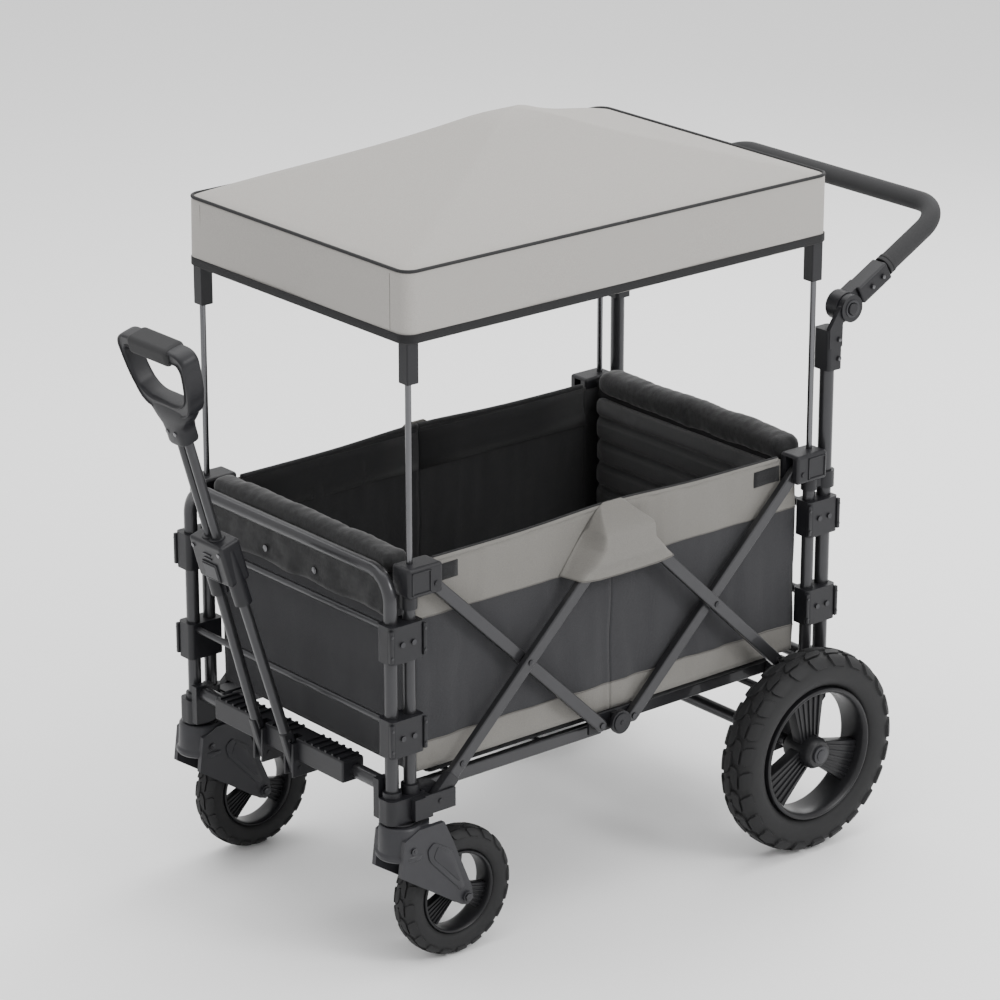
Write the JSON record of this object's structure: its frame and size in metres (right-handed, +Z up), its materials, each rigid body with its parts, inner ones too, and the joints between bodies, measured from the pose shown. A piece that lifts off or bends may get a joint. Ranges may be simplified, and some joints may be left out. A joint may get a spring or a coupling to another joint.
{
  "type": "folding wagon",
  "caption": "Folding fabric wagon with scissor sides, pull handle, push handle, canopy, swivel casters in front and large rear wheels.",
  "frame": {"origin": "on the floor under the centre of the bounding box at rest", "axes": "+X towards the push handle and the large wheels, +Y to the right side seen from behind the pull handle, +Z up"},
  "size_m": [1.3238, 0.678, 1.157],
  "materials": {
    "tube_metal": "satin powder coat, gunmetal",
    "bright_steel": "satin steel",
    "black_plastic": "fine-grained black plastic",
    "foam_grip": "matt foam",
    "tyre_rubber": "matt black",
    "rim_plastic": "satin dark grey plastic",
    "canopy_fabric": "woven polyester, warm grey",
    "basket_fabric": "woven polyester, charcoal",
    "padded_fabric": "quilted fabric, black",
    "floor_fabric": "covered board, black"
  },
  "bodies": {
    "rear_frame": {"push_posts": "tube_metal", "rear_lower_brackets": "black_plastic", "rear_clamps": "black_plastic", "rear_fasteners": "bright_steel", "rear_cross_rods": "tube_metal", "rear_axle": "tube_metal", "push_hinge_sleeves": "black_plastic"},
    "front_frame": {"front_loop": "tube_metal", "front_cross_rods": "tube_metal", "front_clamps": "black_plastic", "front_fasteners": "bright_steel", "front_lower_brackets": "black_plastic", "pull_base": "black_plastic"},
    "post_front": {"front_posts": "tube_metal", "front_top_brackets": "black_plastic", "front_wall": "basket_fabric", "front_side_panels": "basket_fabric", "canopy_rods_front": "bright_steel", "canopy_sleeves_front": "black_plastic", "canopy_front": "canopy_fabric"},
    "post_rear": {"rear_posts": "tube_metal", "rear_top_brackets": "black_plastic", "rear_wall": "padded_fabric", "rear_side_panels": "basket_fabric", "canopy_rods_rear": "bright_steel", "canopy_sleeves_rear": "black_plastic", "canopy_rear": "canopy_fabric"},
    "bar_a": {"bars_a": "tube_metal"},
    "bar_b": {"bars_b": "tube_metal"},
    "bar_c": {"bars_c": "tube_metal"},
    "bar_d": {"bars_d": "tube_metal"},
    "hub_bottom": {"bottom_hubs": "black_plastic"},
    "hub_top": {"top_hubs": "black_plastic"},
    "rail_front": {"front_rails": "tube_metal", "floor_board_front": "floor_fabric"},
    "rail_rear": {"rear_rails": "tube_metal", "floor_board_rear": "floor_fabric"},
    "pull_lower": {"pull_yokes": "black_plastic", "pull_lower_tubes": "tube_metal", "pull_block": "black_plastic"},
    "pull_upper": {"pull_upper_tubes": "tube_metal", "pull_grip": "black_plastic", "pull_grip_sleeve": "foam_grip"},
    "release_button": {"release_button": "black_plastic"},
    "push_handle": {"push_bar": "tube_metal", "push_grip": "foam_grip", "push_hinge_arms": "black_plastic"},
    "brake": {"brake_pedal": "black_plastic"},
    "caster_left": {"caster_fork_left": "black_plastic"},
    "front_wheel_left": {"front_tyre_left": "tyre_rubber", "front_rim_left": "rim_plastic"},
    "rear_wheel_left": {"rear_tyre_left": "tyre_rubber", "rear_rim_left": "rim_plastic"},
    "push_button_left": {"push_button_left": "black_plastic"},
    "caster_right": {"caster_fork_right": "black_plastic"},
    "front_wheel_right": {"front_tyre_right": "tyre_rubber", "front_rim_right": "rim_plastic"},
    "rear_wheel_right": {"rear_tyre_right": "tyre_rubber", "rear_rim_right": "rim_plastic"},
    "push_button_right": {"push_button_right": "black_plastic"}
  },
  "joints": [
    {"name": "fold", "type": "slide", "parent": "rear_frame", "child": "front_frame", "axis": [1, 0, 0], "range_m": [0, 0.38], "deforming": ["front_side_panels", "rear_side_panels", "canopy_front", "canopy_rear"]},
    {"name": "front_post_rise", "type": "slide", "parent": "front_frame", "child": "post_front", "axis": [0, 0, 1], "range_m": [0, 0.1332]},
    {"name": "rear_post_rise", "type": "slide", "parent": "rear_frame", "child": "post_rear", "axis": [0, 0, 1], "range_m": [0, 0.1332]},
    {"name": "bar_b_pivot", "type": "hinge", "parent": "front_frame", "child": "bar_b", "pos_m": [-0.3596, 0, 0.256], "axis": [0, 1, 0], "range_deg": [-29.34, 0]},
    {"name": "bar_a_pivot", "type": "hinge", "parent": "bar_b", "child": "bar_a", "pos_m": [-0.18792, 0, 0.42083], "axis": [0, 1, 0], "range_deg": [0, 58.39]},
    {"name": "bar_c_pivot", "type": "hinge", "parent": "rear_frame", "child": "bar_c", "pos_m": [0.3444, 0, 0.256], "axis": [0, 1, 0], "range_deg": [0, 29.34]},
    {"name": "bar_d_pivot", "type": "hinge", "parent": "bar_c", "child": "bar_d", "pos_m": [0.17272, 0, 0.42083], "axis": [0, 1, 0], "range_deg": [-58.39, 0]},
    {"name": "bottom_hub_glide", "type": "slide", "parent": "rear_frame", "child": "hub_bottom", "axis": [0.9991, 0, 0.0429], "range_m": [0, 0.1912]},
    {"name": "top_hub_glide", "type": "slide", "parent": "rear_frame", "child": "hub_top", "axis": [0.8513, 0, 0.5246], "range_m": [0, 0.2242]},
    {"name": "front_rail_fold", "type": "hinge", "parent": "front_frame", "child": "rail_front", "pos_m": [-0.3596, 0, 0.26], "axis": [0, 1, 0], "range_deg": [-63.1, 0]},
    {"name": "rear_rail_fold", "type": "hinge", "parent": "rear_frame", "child": "rail_rear", "pos_m": [0.3444, 0, 0.26], "axis": [0, 1, 0], "range_deg": [0, 63.1]},
    {"name": "rear_wheel_left_spin", "type": "hinge", "parent": "rear_frame", "child": "rear_wheel_left", "pos_m": [0.3259, -0.303, 0.159], "axis": [0, 1, 0], "continuous": true},
    {"name": "caster_left_swivel", "type": "hinge", "parent": "front_frame", "child": "caster_left", "pos_m": [-0.4126, -0.243, 0.205], "axis": [0, 0, 1], "continuous": true},
    {"name": "front_wheel_left_spin", "type": "hinge", "parent": "caster_left", "child": "front_wheel_left", "pos_m": [-0.3196, -0.243, 0.098], "axis": [0, 1, 0], "continuous": true},
    {"name": "rear_wheel_right_spin", "type": "hinge", "parent": "rear_frame", "child": "rear_wheel_right", "pos_m": [0.3259, 0.303, 0.159], "axis": [0, 1, 0], "continuous": true},
    {"name": "caster_right_swivel", "type": "hinge", "parent": "front_frame", "child": "caster_right", "pos_m": [-0.4126, 0.243, 0.205], "axis": [0, 0, 1], "continuous": true},
    {"name": "front_wheel_right_spin", "type": "hinge", "parent": "caster_right", "child": "front_wheel_right", "pos_m": [-0.3196, 0.243, 0.098], "axis": [0, 1, 0], "continuous": true},
    {"name": "pull_handle_tilt", "type": "hinge", "parent": "front_frame", "child": "pull_lower", "pos_m": [-0.4436, 0, 0.256], "axis": [0, 1, 0], "range_deg": [-68, 12]},
    {"name": "pull_handle_extend", "type": "slide", "parent": "pull_lower", "child": "pull_upper", "axis": [-0.2823, 0, 0.9593], "range_m": [-0.158, 0]},
    {"name": "release_button_press", "type": "slide", "parent": "pull_lower", "child": "release_button", "axis": [0.9593, 0, 0.2823], "range_m": [0, 0.0025], "stiffness_N_per_m": 800, "springref_m": -0.002},
    {"name": "push_handle_tilt", "type": "hinge", "parent": "rear_frame", "child": "push_handle", "pos_m": [0.4394, 0, 0.826], "axis": [0, 1, 0], "range_deg": [-55, 110]},
    {"name": "push_button_left_press", "type": "slide", "parent": "rear_frame", "child": "push_button_left", "axis": [0, 1, 0], "range_m": [0, 0.0025], "stiffness_N_per_m": 800, "springref_m": -0.002},
    {"name": "push_button_right_press", "type": "slide", "parent": "rear_frame", "child": "push_button_right", "axis": [0, -1, 0], "range_m": [0, 0.0025], "stiffness_N_per_m": 800, "springref_m": -0.002},
    {"name": "brake_pedal_press", "type": "hinge", "parent": "rear_frame", "child": "brake", "pos_m": [0.3704, 0, 0.2], "axis": [0, 1, 0], "range_deg": [0, 14]}
  ],
  "couplings": [
    {"joint": "front_post_rise", "follows": "fold", "ratio": 0.34538},
    {"joint": "rear_post_rise", "follows": "fold", "ratio": 0.34538},
    {"joint": "bar_b_pivot", "follows": "fold", "rad_per_m": -1.334},
    {"joint": "bar_a_pivot", "follows": "fold", "rad_per_m": 2.6681},
    {"joint": "bar_c_pivot", "follows": "fold", "rad_per_m": 1.334},
    {"joint": "bar_d_pivot", "follows": "fold", "rad_per_m": -2.6681},
    {"joint": "bottom_hub_glide", "follows": "fold", "ratio": 0.50046},
    {"joint": "top_hub_glide", "follows": "fold", "ratio": 0.58732},
    {"joint": "front_rail_fold", "follows": "fold", "rad_per_m": -2.8751},
    {"joint": "rear_rail_fold", "follows": "fold", "rad_per_m": 2.8751}
  ]
}
